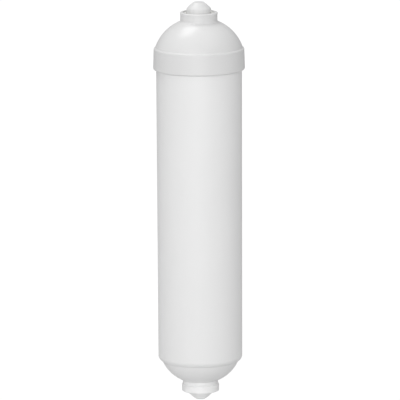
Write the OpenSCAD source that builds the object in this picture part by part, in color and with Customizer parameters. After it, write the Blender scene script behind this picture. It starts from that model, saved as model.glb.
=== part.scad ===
// Inline water filter cartridge: a welded body and cap, a push-fit port at each end,
// a transport plug in each port, and a bed of carbon between two sets of filter discs.
// Millimetres. Z runs along the filter with the inlet up and the origin at mid-length.
// Each end is drawn by depth: how far a point lies inside the end of its transport plug.

/* [Overall] */
// Length from the end of one transport plug to the end of the other
overall_l = 254; // [250:1:280]
// Outside radius of both neck lips
neck_r = 11.75; // [11.6:0.05:11.9]

/* [Body] */
// Outside radius of the body just under the cap
body_top_r = 26.92; // [26.7:0.02:26.94]
// Outside radius of the body at its lower edge
body_low_r = 26.5; // [26.3:0.1:26.7]
// Wall thickness of the body's tube
body_wall = 2.7; // [2.6:0.05:2.75]
// Depth of the body's lower edge, above the chamfer
body_edge_d = 27.4; // [27:0.1:28]
// Radius of the seam between the chamfer and the outlet dome
seam_r = 24.2; // [24:0.1:24.4]
// Radius of the outlet dome's arc
outlet_dome_r = 24.2; // [24.1:0.1:24.3]
// Wall thickness of the outlet dome
outlet_dome_wall = 3.6; // [3.4:0.1:3.8]
// Length of each cylindrical band that a clip grips
clip_band_l = 14; // [12:1:18]
// Distance between the middles of the two clip bands
clip_band_gap = 120; // [100:5:130]

/* [Inlet cap] */
// Outside radius of the skirt at its lower edge
skirt_low_r = 28.78; // [28.6:0.02:28.9]
// Outside radius of the skirt at its upper edge
skirt_top_r = 28.44; // [28.4:0.02:28.5]
// Depth of the skirt's upper edge, where its round begins
skirt_top_d = 29.9; // [29.8:0.1:30.1]
// Depth of the skirt's lower edge
skirt_low_d = 42.55; // [41.5:0.05:44]
// Radius of the inlet dome's arc
inlet_dome_r = 27; // [26.9:0.1:27.1]
// Wall thickness of the inlet dome
inlet_dome_wall = 2.9; // [2.8:0.1:3]

/* [Ports] */
// Depth of the inlet neck's rim
inlet_rim_d = 6.3; // [6:0.1:6.6]
// Depth of the outlet neck's rim
outlet_rim_d = 5.3; // [5:0.1:6]
// Outside diameter of the tube that the ports take
tube_od = 6.35; // [6.35:0.01:6.36]
// How far each collet travels when it is pressed in
collet_travel = 1.2; // [0.8:0.1:1.3]
// Number of fingers on each collet
collet_fingers = 4; // [4:1:6]

/* [Transport plugs] */
// Outside radius of a plug's head
plug_head_r = 7.7; // [7.4:0.1:8]
// Radius of the flat on the end of a plug's head
plug_flat_r = 2.9; // [2.7:0.1:3.3]

/* [Filter media] */
// Thickness of each felt disc
felt_t = 2; // [1.5:0.1:2.5]
// Thickness of the foam pad, as squeezed in the filter
pad_t = 12; // [8:1:14]
// Thickness of the sintered disc that holds back carbon fines
fines_disc_t = 3; // [2.5:0.1:4]
// Thickness of each perforated grid
grid_t = 3; // [2.5:0.1:3.5]
// Diameter of the holes in a grid
grid_hole_d = 3; // [2.5:0.1:3]

/* [Hidden] */
$fn = 96;
// Overshoot of a cut past the face that it opens
cut = 1;
// Clearances on a radius: between parts that slide on each other, and between parts that
// sit still together; and the gap between faces that never touch
slide_fit = 0.075;
seat_fit = 0.05;
gap = 0.3;

// Depths of the port's steps, in the order that a tube meets them
collet_face_d = 8.7;
flange_t = 1.6;
shelf_d = collet_face_d + flange_t;
retainer_d = shelf_d + collet_travel + gap;
retainer_top_d = 7;
retainer_bore_l = 2.5;
retainer_cone_l = 1.7;
retainer_l = 6.6;
gland_d = retainer_d + retainer_l;
spacer_t = 1.3;
gland_l = 3.8;
socket_d = gland_d + gland_l;
socket_l = 3.3;
tube_stop_d = socket_d + socket_l;
boss_floor_t = 2.5;
boss_end_d = tube_stop_d + boss_floor_t;
seat_boss_tail = 0.8;
seat_boss_end_d = gland_d + seat_boss_tail;

// Radii of the port's steps
tube_r = tube_od / 2;
recess_r = 9.9;
retainer_r = 7.2;
barrel_r = 4.45;
cavity_r = 5.5;
flange_r = 5.8;
bulge_r = cavity_r - gap;
ring_section_r = 1.1;
waterway_r = 2.2;
boss_r = 7.7;
seat_boss_r = 9.4;

// Each steel tooth: its width, its thickness along the axis, and where its tip and root lie
tooth_w = 2.6;
tooth_t = 0.3;
tooth_tip_d = 15.1;
tooth_root_d = 16.15;
tooth_root_r = 4.7;

// Centres of the two dome arcs, as radius and depth, and the insides of the domes
inlet_dome_c = [1.92, 37.4];
outlet_dome_c = [2, 34.7];
inlet_inner_r = inlet_dome_r - inlet_dome_wall;
outlet_inner_r = outlet_dome_r - outlet_dome_wall;
neck_root_r = 11.15;

// The weld between body and cap, and the skirts on both sides of it
weld_d = 30.5;
skirt_in_r = 27;
spigot_r = 23.95;
spigot_wall = 1.5;
spigot_end_d = 32.5;
body_top_in_r = body_top_r - body_wall;
body_low_in_r = body_low_r - body_wall;

// Heights of the media, counted from the outlet's end like every other outlet depth
media_r = body_low_in_r - gap / 2;
outlet_grid_h = outlet_dome_c.y;
fines_disc_h = outlet_grid_h + grid_t;
outlet_felt_h = fines_disc_h + fines_disc_t;
carbon_h = outlet_felt_h + felt_t;
inlet_grid_h = overall_l - spigot_end_d - grid_t;
pad_h = inlet_grid_h - pad_t;
inlet_felt_h = pad_h - felt_t;

// Places a part drawn by depth at the inlet or at the outlet end
module at_inlet() {
    translate([0, 0, overall_l / 2])
        mirror([0, 0, 1])
            children();
}

module at_outlet() {
    translate([0, 0, -overall_l / 2])
        children();
}

// Turns an outline of radius and depth into a solid
module turned(outline) {
    rotate_extrude()
        polygon(outline);
}

// A hole of radius r from depth d over a length l
module bore(r, d, l) {
    translate([0, 0, d])
        cylinder(r = r, h = l);
}

// Depth and outline of a dome's arc between two radii
function dome_depth(c, r, radius) = c.y - sqrt(r * r - pow(radius - c.x, 2));
function dome_arc(c, r, from_r, to_r, steps = 20) = [
    for (i = [0:steps])
        let (a = acos((from_r - c.x) / r), b = acos((to_r - c.x) / r), t = a + (b - a) * i / steps)
            c + r * [cos(t), -sin(t)]
];

// Angle on a circle of radius rc about p at which it meets a dome's arc, on the outer side
function meeting_angle(c, r, p, rc) =
    let (away = p - c, d = norm(away))
    atan2(away.y, away.x) - acos((r * r - rc * rc - d * d) / (2 * rc * d));

// A rounded corner: points on a circle about c, from one angle to another
function round_corner(c, r, from, to, steps = 6) = [
    for (i = [0:steps])
        c + r * [cos(from + (to - from) * i / steps), sin(from + (to - from) * i / steps)]
];

// A shallow arc from a, left out, to b, its middle proud of the straight line by bulge
function bulged(a, b, bulge, steps = 8) =
    let (span = norm(b - a), out = [b.y - a.y, a.x - b.x] / span)
    let (r = (span * span / 4 + bulge * bulge) / (2 * bulge), c = (a + b) / 2 + out * (bulge - r))
    let (sweep = 2 * asin(span / 2 / r))
    [
        for (i = [1:steps])
            let (t = sweep * i / steps, p = a - c)
                c + [p.x * cos(t) - p.y * sin(t), p.x * sin(t) + p.y * cos(t)]
    ];

// Every bore of a port, from the rim's recess to the waterway
module port_bores(rim_d) {
    bore(recess_r, rim_d - cut, retainer_d - rim_d + cut);
    bore(retainer_r, retainer_d - cut, retainer_l + cut);
    bore(cavity_r, gland_d - cut, gland_l + cut);
    bore(tube_r + slide_fit, socket_d - cut, socket_l + cut);
    bore(waterway_r, tube_stop_d - cut, boss_end_d - tube_stop_d + 2 * cut);
}

// The boss that holds a port, inside a dome: the space round it from the axis outwards
function round_the_boss(c, inner_r) = [
    [0, boss_end_d],
    [boss_r, boss_end_d],
    [boss_r, seat_boss_end_d],
    [seat_boss_r, seat_boss_end_d],
    [seat_boss_r, dome_depth(c, inner_r, seat_boss_r)]
];

// One-piece moulding: tube, chamfered lower edge, outlet dome and outlet neck
module body() {
    lip_round = 0.65;
    ring_top_d = 9.95;
    edge_round = 0.25;
    top_d = overall_l - weld_d;
    skirt_d = overall_l - skirt_low_d;
    middle_d = overall_l / 2;
    low_band_d = middle_d - clip_band_gap / 2 - clip_band_l / 2;
    top_band_d = middle_d + clip_band_gap / 2 - clip_band_l / 2;
    low_band_r = body_r_at(low_band_d + clip_band_l / 2);
    top_band_r = body_r_at(top_band_d + clip_band_l / 2);
    color("white") at_outlet() difference() {
        turned(concat(
            [[0, outlet_rim_d]],
            round_corner([neck_r - lip_round, outlet_rim_d + lip_round], lip_round, -90, 0),
            round_corner([neck_r - lip_round, ring_top_d - lip_round], lip_round, 0, 90),
            [[neck_root_r, ring_top_d]],
            dome_arc(outlet_dome_c, outlet_dome_r, neck_root_r, seam_r),
            [
                [body_low_r - edge_round, body_edge_d - edge_round],
                [body_low_r, body_edge_d + edge_round],
                [low_band_r, low_band_d],
                [low_band_r, low_band_d + clip_band_l],
                [top_band_r, top_band_d],
                [top_band_r, top_band_d + clip_band_l],
                [body_top_r, skirt_d],
                [body_top_r, top_d],
                [0, top_d]
            ]
        ));
        turned(concat(
            round_the_boss(outlet_dome_c, outlet_inner_r),
            dome_arc(outlet_dome_c, outlet_inner_r, seat_boss_r, outlet_dome_c.x + outlet_inner_r),
            [
                [body_low_in_r, outlet_dome_c.y],
                [body_top_in_r, top_d],
                [body_top_in_r, top_d + cut],
                [0, top_d + cut]
            ]
        ));
        port_bores(outlet_rim_d);
    }
}

// Outside radius of the drafted tube at a depth from the outlet's end
function body_r_at(d) = body_low_r
    + (body_top_r - body_low_r) * (d - body_edge_d) / (overall_l - skirt_low_d - body_edge_d);

// Domed cap, spin-welded to the body's rim, with a skirt over it and the inlet neck on top
module inlet_cap() {
    lip_proud = 0.1;
    lip_r = neck_r + lip_proud;
    lip_l = 1.4;
    lip_round = 0.8;
    skirt_round = 1.05;
    shoulder_round = 1.3;
    shoulder_c = [skirt_top_r - shoulder_round, skirt_top_d];
    crease_angle = meeting_angle(inlet_dome_c, inlet_dome_r, shoulder_c, shoulder_round);
    crease_r = shoulder_c.x + shoulder_round * cos(crease_angle);
    root_r = neck_r - lip_proud;
    fillet = 1.6;
    fillet_r = root_r + fillet;
    fillet_d = dome_depth(inlet_dome_c, inlet_dome_r + fillet, fillet_r);
    fillet_angle = atan2(inlet_dome_c.y - fillet_d, inlet_dome_c.x - fillet_r);
    outer_shell = concat(
        [[0, inlet_rim_d]],
        round_corner([lip_r - lip_round, inlet_rim_d + lip_round], lip_round, -90, 0),
        [[root_r, inlet_rim_d + lip_l]],
        round_corner([fillet_r, fillet_d], fillet, 180, fillet_angle),
        dome_arc(inlet_dome_c, inlet_dome_r, fillet_r + fillet * cos(fillet_angle), crease_r),
        round_corner(shoulder_c, shoulder_round, crease_angle, 0),
        round_corner([skirt_low_r - skirt_round, skirt_low_d - skirt_round], skirt_round, 0, 90),
        [[0, skirt_low_d]]
    );
    spigot_in_r = spigot_r - spigot_wall;
    color("whitesmoke") at_inlet() difference() {
        turned(outer_shell);
        turned(concat(
            round_the_boss(inlet_dome_c, inlet_inner_r),
            dome_arc(inlet_dome_c, inlet_inner_r, seat_boss_r, spigot_in_r),
            [[spigot_in_r, spigot_end_d + cut], [0, spigot_end_d + cut]]
        ));
        turned(concat(
            dome_arc(inlet_dome_c, inlet_inner_r, spigot_r, weld_inner_r(), 6),
            [
                [skirt_in_r, weld_d],
                [skirt_in_r, skirt_low_d + cut],
                [0, skirt_low_d + cut],
                [0, spigot_end_d],
                [spigot_r, spigot_end_d]
            ]
        ));
        port_bores(inlet_rim_d);
    }
}

// Radius at which the cap's inner dome reaches the depth of the weld
function weld_inner_r() = inlet_dome_c.x + sqrt(pow(inlet_inner_r, 2) - pow(inlet_dome_c.y - weld_d, 2));

// Transport plug: a domed hollow head on a solid stem of the tube's diameter
module plug() {
    skirt_d = collet_face_d - gap;
    crown_round = 0.8;
    crown_c = [plug_flat_r, crown_round];
    crown_end = -52;
    slope_start = crown_c + crown_round * [cos(crown_end), sin(crown_end)];
    slope_end = [plug_head_r - 0.35, 3.65];
    slope_bulge = 0.1;
    side_d = 4.5;
    head_wall = 1.3;
    core_r = 4.2;
    core_top_d = 4.2;
    core_round = 0.5;
    stem_end_d = tube_stop_d - gap;
    chamfer = 0.6;
    color("ghostwhite") difference() {
        turned(concat(
            [[0, 0]],
            round_corner(crown_c, crown_round, -90, crown_end),
            bulged(slope_start, slope_end, slope_bulge),
            [
                [plug_head_r, side_d],
                [plug_head_r, skirt_d],
                [tube_r, skirt_d],
                [tube_r, stem_end_d - chamfer],
                [tube_r - chamfer, stem_end_d],
                [0, stem_end_d]
            ]
        ));
        turned([
            [core_r, core_top_d],
            [plug_head_r - head_wall - core_round, core_top_d],
            [plug_head_r - head_wall, core_top_d + core_round],
            [plug_head_r - head_wall, skirt_d + cut],
            [core_r, skirt_d + cut]
        ]);
    }
}

// The part of a ring that the collet fingers' steel teeth fill, seen from the end
module tooth_sector(width) {
    reach = 2 * cavity_r;
    intersection() {
        children();
        for (i = [0:collet_fingers - 1])
            rotate([0, 0, (i + 0.5) * 360 / collet_fingers])
                translate([0, -width / 2, retainer_d])
                    cube([reach, width, retainer_l]);
    }
}

// Outline of a tooth: a thin strip that leans inwards and against the way out
function tooth_strip(grow) =
    let (tip_r = tube_r + seat_fit - grow, root_r = tooth_root_r + grow)
    [
        [tip_r, tooth_tip_d - grow],
        [tip_r, tooth_tip_d + tooth_t + grow],
        [root_r, tooth_root_d + tooth_t + grow],
        [root_r, tooth_root_d - grow]
    ];

// Steel teeth, one strip set in each finger of a collet
module teeth() {
    color("silver") tooth_sector(tooth_w)
        turned(tooth_strip(0));
}

// Collet: a flange to press, a barrel, and sprung fingers that swell behind the retainer
module collet() {
    slot_w = 0.8;
    slot_start = 1;
    slot_d = retainer_d + slot_start;
    bore_r = tube_r + slide_fit;
    edge = 0.4;
    swell_d = retainer_d + retainer_bore_l + gap;
    swell_l = 1.3;
    tip_d = retainer_d + retainer_l - collet_travel - gap;
    pocket_fit = 0.03;
    color("whitesmoke") difference() {
        turned([
            [bore_r + edge, collet_face_d],
            [flange_r - edge, collet_face_d],
            [flange_r, collet_face_d + edge],
            [flange_r, shelf_d],
            [barrel_r, shelf_d],
            [barrel_r, swell_d],
            [bulge_r, swell_d + swell_l],
            [bulge_r, tip_d - edge],
            [bulge_r - edge, tip_d],
            [bore_r, tip_d],
            [bore_r, collet_face_d + edge]
        ]);
        for (i = [0:collet_fingers - 1])
            rotate([0, 0, i * 360 / collet_fingers])
                translate([0, -slot_w / 2, slot_d])
                    cube([bulge_r + cut, slot_w, tip_d - slot_d + cut]);
        tooth_sector(tooth_w + 2 * pocket_fit)
            turned(tooth_strip(pocket_fit));
    }
}

// Retainer: a flanged ring pressed into the neck. Its flange fills the neck's recess round
// the plug and the collet, and its bore ends in the cone that closes the collet's fingers
module retainer() {
    bore_r = barrel_r + slide_fit;
    well_r = flange_r + gap;
    mouth_r = plug_head_r + gap;
    flange_out_r = recess_r - seat_fit / 2;
    ring_r = retainer_r - seat_fit / 2;
    lead_in = 0.3;
    edge = 0.3;
    bore_end_d = retainer_d + retainer_bore_l;
    cone_end_d = bore_end_d + retainer_cone_l;
    color("whitesmoke") turned([
        [mouth_r + edge, retainer_top_d],
        [flange_out_r - edge, retainer_top_d],
        [flange_out_r, retainer_top_d + edge],
        [flange_out_r, retainer_d],
        [ring_r, retainer_d],
        [ring_r, gland_d],
        [cavity_r, gland_d],
        [cavity_r, cone_end_d],
        [bore_r, bore_end_d],
        [bore_r, retainer_d + lead_in],
        [bore_r + lead_in, retainer_d],
        [well_r, retainer_d],
        [well_r, shelf_d],
        [mouth_r, shelf_d],
        [mouth_r, retainer_top_d + edge]
    ]);
}

// Spacer washer between the retainer and the O-ring
module spacer() {
    color("gainsboro") difference() {
        bore(cavity_r - seat_fit, gland_d, spacer_t);
        bore(tube_r + 2 * seat_fit, gland_d - cut, spacer_t + 2 * cut);
    }
}

// O-ring in its gland, just clear of the plug's stem
module o_ring() {
    color("dimgray")
        translate([0, 0, gland_d + (spacer_t + gland_l) / 2])
            rotate_extrude()
                translate([tube_r + seat_fit + ring_section_r, 0])
                    circle(r = ring_section_r);
}

// Disc of filter media of radius r and thickness t, its lower face at height h
module disc(r, t, h) {
    at_outlet()
        translate([0, 0, h])
            cylinder(r = r, h = t);
}

// Perforated grid: rings of holes in a disc, with a raised rim
module grid(r, h, rim_up) {
    rim_w = 1.4;
    rim_h = 1.2;
    web_t = grid_t - rim_h;
    ring_pitch = 4.4;
    rings = floor((r - rim_w - grid_hole_d / 2) / ring_pitch);
    web_h = rim_up ? h : h + grid_t - web_t;
    at_outlet() difference() {
        translate([0, 0, h])
            cylinder(r = r, h = grid_t);
        translate([0, 0, rim_up ? h + web_t : h - cut])
            cylinder(r = r - rim_w, h = rim_h + cut);
        bore(grid_hole_d / 2, web_h - cut, web_t + 2 * cut);
        for (ring = [1:rings], i = [0:6 * ring - 1])
            rotate([0, 0, i * 60 / ring])
                translate([ring * ring_pitch, 0, 0])
                    bore(grid_hole_d / 2, web_h - cut, web_t + 2 * cut);
    }
}

module inlet_plug() { at_inlet() plug(); }
module outlet_plug() { at_outlet() plug(); }
module inlet_collet() { at_inlet() collet(); }
module outlet_collet() { at_outlet() collet(); }
module inlet_teeth() { at_inlet() teeth(); }
module outlet_teeth() { at_outlet() teeth(); }
module inlet_retainer() { at_inlet() retainer(); }
module outlet_retainer() { at_outlet() retainer(); }
module inlet_spacer() { at_inlet() spacer(); }
module outlet_spacer() { at_outlet() spacer(); }
module inlet_o_ring() { at_inlet() o_ring(); }
module outlet_o_ring() { at_outlet() o_ring(); }
module inlet_grid() { color("white") grid(media_r, inlet_grid_h, true); }
module outlet_grid() { color("white") grid(media_r, outlet_grid_h, false); }
module foam_pad() { color("lightgray") disc(media_r, pad_t, pad_h); }
module inlet_felt() { color("ivory") disc(media_r, felt_t, inlet_felt_h); }
module carbon_bed() { color("black") disc(media_r, inlet_felt_h - carbon_h, carbon_h); }
module outlet_felt() { color("ivory") disc(media_r, felt_t, outlet_felt_h); }
module fines_disc() { color("white") disc(media_r, fines_disc_t, fines_disc_h); }

body();
inlet_cap();
inlet_plug();
outlet_plug();
inlet_collet();
outlet_collet();
inlet_teeth();
outlet_teeth();
inlet_retainer();
outlet_retainer();
inlet_spacer();
outlet_spacer();
inlet_o_ring();
outlet_o_ring();
inlet_grid();
foam_pad();
inlet_felt();
carbon_bed();
outlet_felt();
fines_disc();
outlet_grid();
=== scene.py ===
import math

import bpy
from mathutils import Matrix, Vector


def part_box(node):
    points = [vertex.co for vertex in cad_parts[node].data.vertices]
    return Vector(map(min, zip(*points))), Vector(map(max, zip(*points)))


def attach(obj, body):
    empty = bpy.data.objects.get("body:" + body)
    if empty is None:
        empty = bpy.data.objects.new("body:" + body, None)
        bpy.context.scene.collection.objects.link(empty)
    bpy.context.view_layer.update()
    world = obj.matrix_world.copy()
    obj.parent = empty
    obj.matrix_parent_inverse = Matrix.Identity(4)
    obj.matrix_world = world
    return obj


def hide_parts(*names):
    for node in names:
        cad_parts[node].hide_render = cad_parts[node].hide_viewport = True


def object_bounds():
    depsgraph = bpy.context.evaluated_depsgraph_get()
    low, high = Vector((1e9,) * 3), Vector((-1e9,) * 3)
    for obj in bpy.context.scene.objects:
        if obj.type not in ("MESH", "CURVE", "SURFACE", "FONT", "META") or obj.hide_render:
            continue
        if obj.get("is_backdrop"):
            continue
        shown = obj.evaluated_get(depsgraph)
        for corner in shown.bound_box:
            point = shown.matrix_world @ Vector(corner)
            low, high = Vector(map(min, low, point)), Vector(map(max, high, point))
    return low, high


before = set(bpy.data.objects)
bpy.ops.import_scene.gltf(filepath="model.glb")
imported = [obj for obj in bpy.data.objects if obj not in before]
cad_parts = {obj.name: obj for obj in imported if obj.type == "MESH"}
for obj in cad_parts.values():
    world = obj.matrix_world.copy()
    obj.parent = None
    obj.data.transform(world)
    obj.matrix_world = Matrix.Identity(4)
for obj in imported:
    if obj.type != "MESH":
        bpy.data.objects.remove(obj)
cad_low, cad_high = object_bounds()
scene = bpy.context.scene
middle = Vector((0, 0, (cad_low.z + cad_high.z) / 2))


# Camera: a long lens a few metres off, a little above the filter's middle, so that both
# ends are seen from slightly above and the tube keeps its true taper.
CAMERA_DISTANCE = 3.6
CAMERA_ELEVATION = math.radians(10.8)
CAMERA_ROLL = math.radians(-0.27)
LENS_MM = 514.6
FRAMING = (0.0008, 0.0034)
NEAREST_SEEN, FURTHEST_SEEN = 0.1, 50.0

camera_data = bpy.data.cameras.new("studio_camera")
camera_data.lens = LENS_MM
camera_data.clip_start = NEAREST_SEEN
camera_data.clip_end = FURTHEST_SEEN
camera_data.shift_x, camera_data.shift_y = FRAMING
camera = bpy.data.objects.new("studio_camera", camera_data)
scene.collection.objects.link(camera)
backwards = Vector((0, -math.cos(CAMERA_ELEVATION), math.sin(CAMERA_ELEVATION)))
level = (-backwards).to_track_quat("-Z", "Y")
camera.rotation_mode = "QUATERNION"
camera.rotation_quaternion = level @ Matrix.Rotation(CAMERA_ROLL, 4, "Z").to_quaternion()
camera.location = middle + backwards * CAMERA_DISTANCE
scene.camera = camera
scene.view_settings.view_transform = "Standard"


# Studio: a white paper floor under the filter, clear from below, and a soft surround that is
# bright overhead and dark below. The front lamp does most of the work, and two small cards
# lift the outlet's neck and plug.
FLOOR_BELOW = 0.034
FLOOR_HALF = 8.0
PAPER_WHITE = 0.66
OVERHEAD = 0.78
SEEN_WHITE = 1.05
NECK_AIM, PLUG_AIM = (0, 0, 0.0075), (0, -0.004, 0.002)


def add(tree, kind, inputs=(), **settings):
    """Adds a node with its settings, and sets or links its inputs by name or number."""
    made = tree.nodes.new(kind)
    for name, value in settings.items():
        setattr(made, name, value)
    for name, value in dict(inputs).items():
        if isinstance(value, bpy.types.NodeSocket):
            tree.links.new(value, made.inputs[name])
        else:
            made.inputs[name].default_value = value
    return made


def soft_lamp(name, place, size, watts, aim=middle, spread=180.0):
    """A soft box of a width and height that faces a point and isn't seen itself."""
    data = bpy.data.lights.new(name, "AREA")
    data.shape = "RECTANGLE"
    data.size, data.size_y = size
    data.energy = watts
    data.spread = math.radians(spread)
    lamp = bpy.data.objects.new(name, data)
    scene.collection.objects.link(lamp)
    lamp.rotation_mode = "QUATERNION"
    lamp.rotation_quaternion = (aim - Vector(place)).to_track_quat("-Z", "Y")
    lamp.location = place
    lamp.visible_camera = False


world = bpy.data.worlds.new("studio_surround")
scene.world = world
world.use_nodes = True
sky = world.node_tree
sky.nodes.clear()
looking = add(sky, "ShaderNodeTexCoord").outputs["Generated"]
height = add(sky, "ShaderNodeSeparateXYZ", {0: looking}).outputs["Z"]
glow = add(sky, "ShaderNodeMapRange", {"Value": height, "From Min": -1.0, "To Max": OVERHEAD})
surround = add(sky, "ShaderNodeBackground", {"Color": glow.outputs["Result"]})
backdrop = add(sky, "ShaderNodeBackground", {"Color": (1, 1, 1, 1), "Strength": SEEN_WHITE})
seen = add(sky, "ShaderNodeLightPath").outputs["Is Camera Ray"]
mixed = add(sky, "ShaderNodeMixShader", {0: seen, 1: surround.outputs[0], 2: backdrop.outputs[0]})
add(sky, "ShaderNodeOutputWorld", {"Surface": mixed.outputs[0]})

floor_mesh = bpy.data.meshes.new("studio_floor")
floor_corners = [(x * FLOOR_HALF, y * FLOOR_HALF, cad_low.z - FLOOR_BELOW)
                 for x, y in ((-1, -1), (1, -1), (1, 1), (-1, 1))]
floor_mesh.from_pydata(floor_corners, [], [(0, 1, 2, 3)])
floor = bpy.data.objects.new("studio_floor", floor_mesh)
scene.collection.objects.link(floor)
paper = bpy.data.materials.new("white_backdrop_paper")
paper.use_nodes = True
sheet = paper.node_tree
sheet.nodes.clear()
lit = add(sheet, "ShaderNodeBsdfDiffuse", {"Color": (PAPER_WHITE, PAPER_WHITE, PAPER_WHITE, 1)})
bright = add(sheet, "ShaderNodeEmission", {"Color": (1, 1, 1, 1), "Strength": SEEN_WHITE})
seen = add(sheet, "ShaderNodeLightPath").outputs["Is Camera Ray"]
mixed = add(sheet, "ShaderNodeMixShader", {0: seen, 1: lit.outputs[0], 2: bright.outputs[0]})
clear = add(sheet, "ShaderNodeBsdfTransparent")
under = add(sheet, "ShaderNodeNewGeometry").outputs["Backfacing"]
either = add(sheet, "ShaderNodeMixShader", {0: under, 1: mixed.outputs[0], 2: clear.outputs[0]})
add(sheet, "ShaderNodeOutputMaterial", {"Surface": either.outputs[0]})
floor_mesh.materials.append(paper)
floor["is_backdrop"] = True

outlet_tip = Vector((0, 0, cad_low.z))
soft_lamp("key_front", (0.0, -2.22, 0.6), (1.4, 1.4), 18.3)
soft_lamp("key_left", (-0.94, -2.01, 0.6), (1.4, 1.4), 6.2)
soft_lamp("top_left", (-0.35, 0.25, 1.2), (0.65, 0.45), 3.9)
soft_lamp("neck_card", (-0.01, -0.11, -0.132), (0.028, 0.011), 0.00010,
          aim=outlet_tip + Vector(NECK_AIM), spread=8.0)
soft_lamp("plug_card", (-0.004, -0.04, -0.153), (0.016, 0.008), 0.00012,
          aim=outlet_tip + Vector(PLUG_AIM), spread=20.0)


# Body: one injection moulding in white polypropylene, with the tube, its chamfered lower
# edge, the outlet dome and the outlet neck. The port's bores are cored through the neck and
# the boss behind it, and a fine witness line runs round where the mould's two halves met.

# Radii and depths are in mm; a depth is counted inwards from the end of that end's plug.
MM = 0.001
RAIL_R = 0.1
TURN_STEPS = 224
BODY_DRAFT, BODY_WALL, BODY_EDGE, EDGE_ROUND, RIM_ROUND = 0.42, 2.7, 27.4, 0.4, 0.2
NECK_R = 11.75
NECK_ROOT_R = 11.15
OUTLET_RIM = 5.3
RING_TOP = 9.95
LIP_ROUND = 0.65
RECESS_R, SEAT_R, GLAND_R, SOCKET_R, WATERWAY_R = 9.9, 7.2, 5.5, 3.25, 2.2
RECESS_END = 11.8
BOSS_R, SEAT_BOSS_R, SEAT_BOSS_END = 7.7, 9.4, 19.2
SOCKET_D, TUBE_STOP, BOSS_END = 22.2, 25.5, 28.0
OUTLET_C, OUTLET_R, OUTLET_IN_R = (2.0, 34.7), 24.2, 20.6
SEAM_R, SEAM_D, WITNESS, EDGE_BOW = 24.2, 25.0, 0.16, 0.36
HARD_ANGLE = math.radians(32)
MERGED = 1e-6
DRAG_MM, DRAG_STRETCH, DRAG_GLOSS = 1.2, 0.02, 0.015
SKIN_HEIGHT, SKIN_STRENGTH = 0.02, 0.06


def span(node):
    """Nearest and furthest depth of a node, in mm from the outlet plug's end."""
    low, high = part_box(node)
    return (low.z - cad_low.z) / MM, (high.z - cad_low.z) / MM


def reach(node):
    """Outside radius of a node in mm."""
    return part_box(node)[1].x / MM


def inlet(points):
    """Points of radius and depth in mm, drawn at the inlet end, as radius and height in m."""
    return [(r * MM, cad_high.z - d * MM) for r, d in points]


def outlet(points):
    """The same at the outlet end."""
    return [(r * MM, cad_low.z + d * MM) for r, d in points]


def arc(centre, radius, start, end, steps=6):
    """Points on a circle of radius and depth, from one angle in degrees to another."""
    turns = [math.radians(start + (end - start) * i / steps) for i in range(steps + 1)]
    return [(centre[0] + radius * math.cos(t), centre[1] + radius * math.sin(t)) for t in turns]


def dome(centre, radius, start_r, end_r, steps=40):
    """The arc of a dome between two radii, on its outer side."""
    start, end = (-math.degrees(math.acos((r - centre[0]) / radius)) for r in (start_r, end_r))
    return arc(centre, radius, start, end, steps)


def bowed(start, end, bow, steps=10):
    """Points after the first along a shallow curve, its middle proud of the chord by bow."""
    (x, y), (u, v) = start, end
    across = (v - y) / math.dist(start, end), (x - u) / math.dist(start, end)
    parts = [i / steps for i in range(1, steps + 1)]
    rises = [4 * bow * t * (1 - t) for t in parts]
    return [(x + (u - x) * t + across[0] * h, y + (v - y) * t + across[1] * h)
            for t, h in zip(parts, rises)]


def held(points, closed=True, hold=0.25, shortest=1.5):
    """The outline with points added near the ends of its long straight stretches."""
    out = []
    ends = points[1:] + points[:1] if closed else points[1:]
    for a, b in zip(points, ends):
        out.append(a)
        length = math.dist(a, b)
        if length > shortest:
            for t in (hold / length, 1 - hold / length):
                out.append((a[0] + (b[0] - a[0]) * t, a[1] + (b[1] - a[1]) * t))
    return out if closed else out + [points[-1]]


def edges_tree():
    """Shades a mesh smooth, and keeps its real edges hard."""
    tree = bpy.data.node_groups.new("hard_edges", "GeometryNodeTree")
    tree.interface.new_socket("Geometry", in_out="INPUT", socket_type="NodeSocketGeometry")
    tree.interface.new_socket("Hard angle", in_out="INPUT", socket_type="NodeSocketFloat")
    tree.interface.new_socket("Geometry", in_out="OUTPUT", socket_type="NodeSocketGeometry")
    given = add(tree, "NodeGroupInput").outputs
    smooth = add(tree, "GeometryNodeSetShadeSmooth", {"Geometry": given["Geometry"]})
    angle = add(tree, "GeometryNodeInputMeshEdgeAngle").outputs["Unsigned Angle"]
    sharp = add(tree, "FunctionNodeCompare", {
        0: angle, 1: given["Hard angle"],
    }, operation="GREATER_THAN")
    hard = add(tree, "GeometryNodeSetShadeSmooth", {
        "Geometry": smooth.outputs[0], "Selection": sharp.outputs[0], "Shade Smooth": False,
    }, domain="EDGE")
    add(tree, "NodeGroupOutput", {0: hard.outputs[0]})
    return tree


def tree_with(name, **inputs):
    """A tree with a geometry input and output, a material and the inputs that are named."""
    tree = bpy.data.node_groups.new(name, "GeometryNodeTree")
    face = tree.interface
    face.new_socket("Geometry", in_out="INPUT", socket_type="NodeSocketGeometry")
    for label, kind in inputs.items():
        face.new_socket(label.replace("_", " "), in_out="INPUT", socket_type="NodeSocket" + kind)
    face.new_socket("Material", in_out="INPUT", socket_type="NodeSocketMaterial")
    face.new_socket("Geometry", in_out="OUTPUT", socket_type="NodeSocketGeometry")
    return tree, add(tree, "NodeGroupInput").outputs


def close(tree, given, geometry):
    """Ends a tree with real instances and the material."""
    real = add(tree, "GeometryNodeRealizeInstances", {"Geometry": geometry})
    ended = add(tree, "GeometryNodeSetMaterial", {
        "Geometry": real.outputs[0], "Material": given["Material"],
    })
    add(tree, "NodeGroupOutput", {0: ended.outputs[0]})
    return tree


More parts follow.
